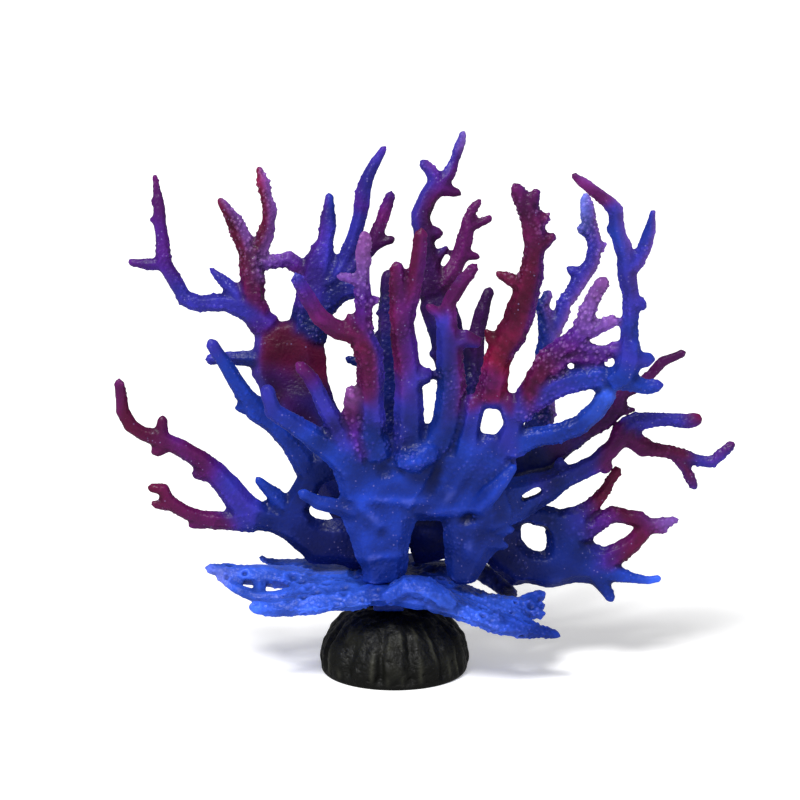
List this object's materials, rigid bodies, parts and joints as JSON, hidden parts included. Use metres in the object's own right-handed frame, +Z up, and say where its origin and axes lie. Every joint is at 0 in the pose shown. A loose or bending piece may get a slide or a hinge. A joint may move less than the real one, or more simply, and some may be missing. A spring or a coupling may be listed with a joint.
{
  "type": "artificial sea fan on stand",
  "caption": "Moulded soft-plastic branching sea fan in layered flat sheets, plugged upright into a ribbed domed base that stands on a flat floor.",
  "frame": {"origin": "centre of the base's flat underside, where the ornament stands", "axes": "+Z up, +X along the fan's width to the viewer's right, -Y towards the viewer, through the fan's depth"},
  "size_m": [0.1578, 0.0579, 0.137],
  "materials": {
    "base_black": "rough, pitted, unglazed black",
    "bright_blue_plastic": "satin bright blue soft plastic with fine pimples",
    "deep_blue_plastic": "satin deep blue soft plastic with fine pimples",
    "navy_plastic": "satin navy blue soft plastic with fine pimples",
    "maroon_plastic": "satin maroon soft plastic with fine pimples",
    "crimson_plastic": "satin crimson soft plastic with fine pimples",
    "purple_plastic": "satin purple soft plastic with fine pimples",
    "plum_plastic": "satin plum soft plastic with fine pimples"
  },
  "bodies": {
    "root": {"base": "base_black", "mounting_peg": "bright_blue_plastic", "skirt_centre": "bright_blue_plastic", "skirt_left_lobe": "bright_blue_plastic", "skirt_right_lobe": "bright_blue_plastic", "skirt_back_flap": "navy_plastic", "left_trunk": "deep_blue_plastic", "left_long_arm": "maroon_plastic", "left_lower_arm": "maroon_plastic", "left_upper_bough": "bright_blue_plastic", "left_stub": "bright_blue_plastic", "right_trunk": "deep_blue_plastic", "right_curved_twig": "maroon_plastic", "right_looped_arm": "maroon_plastic", "right_low_prongs": "bright_blue_plastic", "right_upper_bough": "deep_blue_plastic", "right_upper_finger": "purple_plastic", "right_forked_arm": "maroon_plastic", "right_hidden_bough": "plum_plastic", "front_left_trunk": "deep_blue_plastic", "front_left_arm": "purple_plastic", "front_left_finger": "maroon_plastic", "front_left_stub": "purple_plastic", "front_left_low_finger": "deep_blue_plastic", "front_left_fork_stem": "maroon_plastic", "front_left_fork_left_arm": "maroon_plastic", "front_left_fork_right_arm": "maroon_plastic", "front_centre_twin_finger": "plum_plastic", "front_centre_bough": "deep_blue_plastic", "front_right_trunk": "deep_blue_plastic", "front_right_short_branch": "bright_blue_plastic", "front_right_crimson_bough": "crimson_plastic", "front_right_pimpled_bough": "maroon_plastic", "front_right_lower_arc": "bright_blue_plastic", "front_right_middle_link": "purple_plastic", "front_right_knot": "bright_blue_plastic", "front_right_tall_bough": "deep_blue_plastic", "back_left_trunk": "navy_plastic", "back_left_outer_bough": "maroon_plastic", "back_left_forked_bough": "maroon_plastic", "back_left_inner_bough": "deep_blue_plastic", "back_left_bridge": "plum_plastic", "back_left_tall_bough": "deep_blue_plastic", "back_left_dark_twig": "plum_plastic", "back_left_short_twig": "purple_plastic", "back_centre_column": "navy_plastic", "back_right_trunk": "navy_plastic", "back_right_top_fork": "plum_plastic", "back_right_side_bough": "maroon_plastic", "back_right_finger": "plum_plastic", "back_right_wavy_bough": "deep_blue_plastic"}
  },
  "joints": []
}
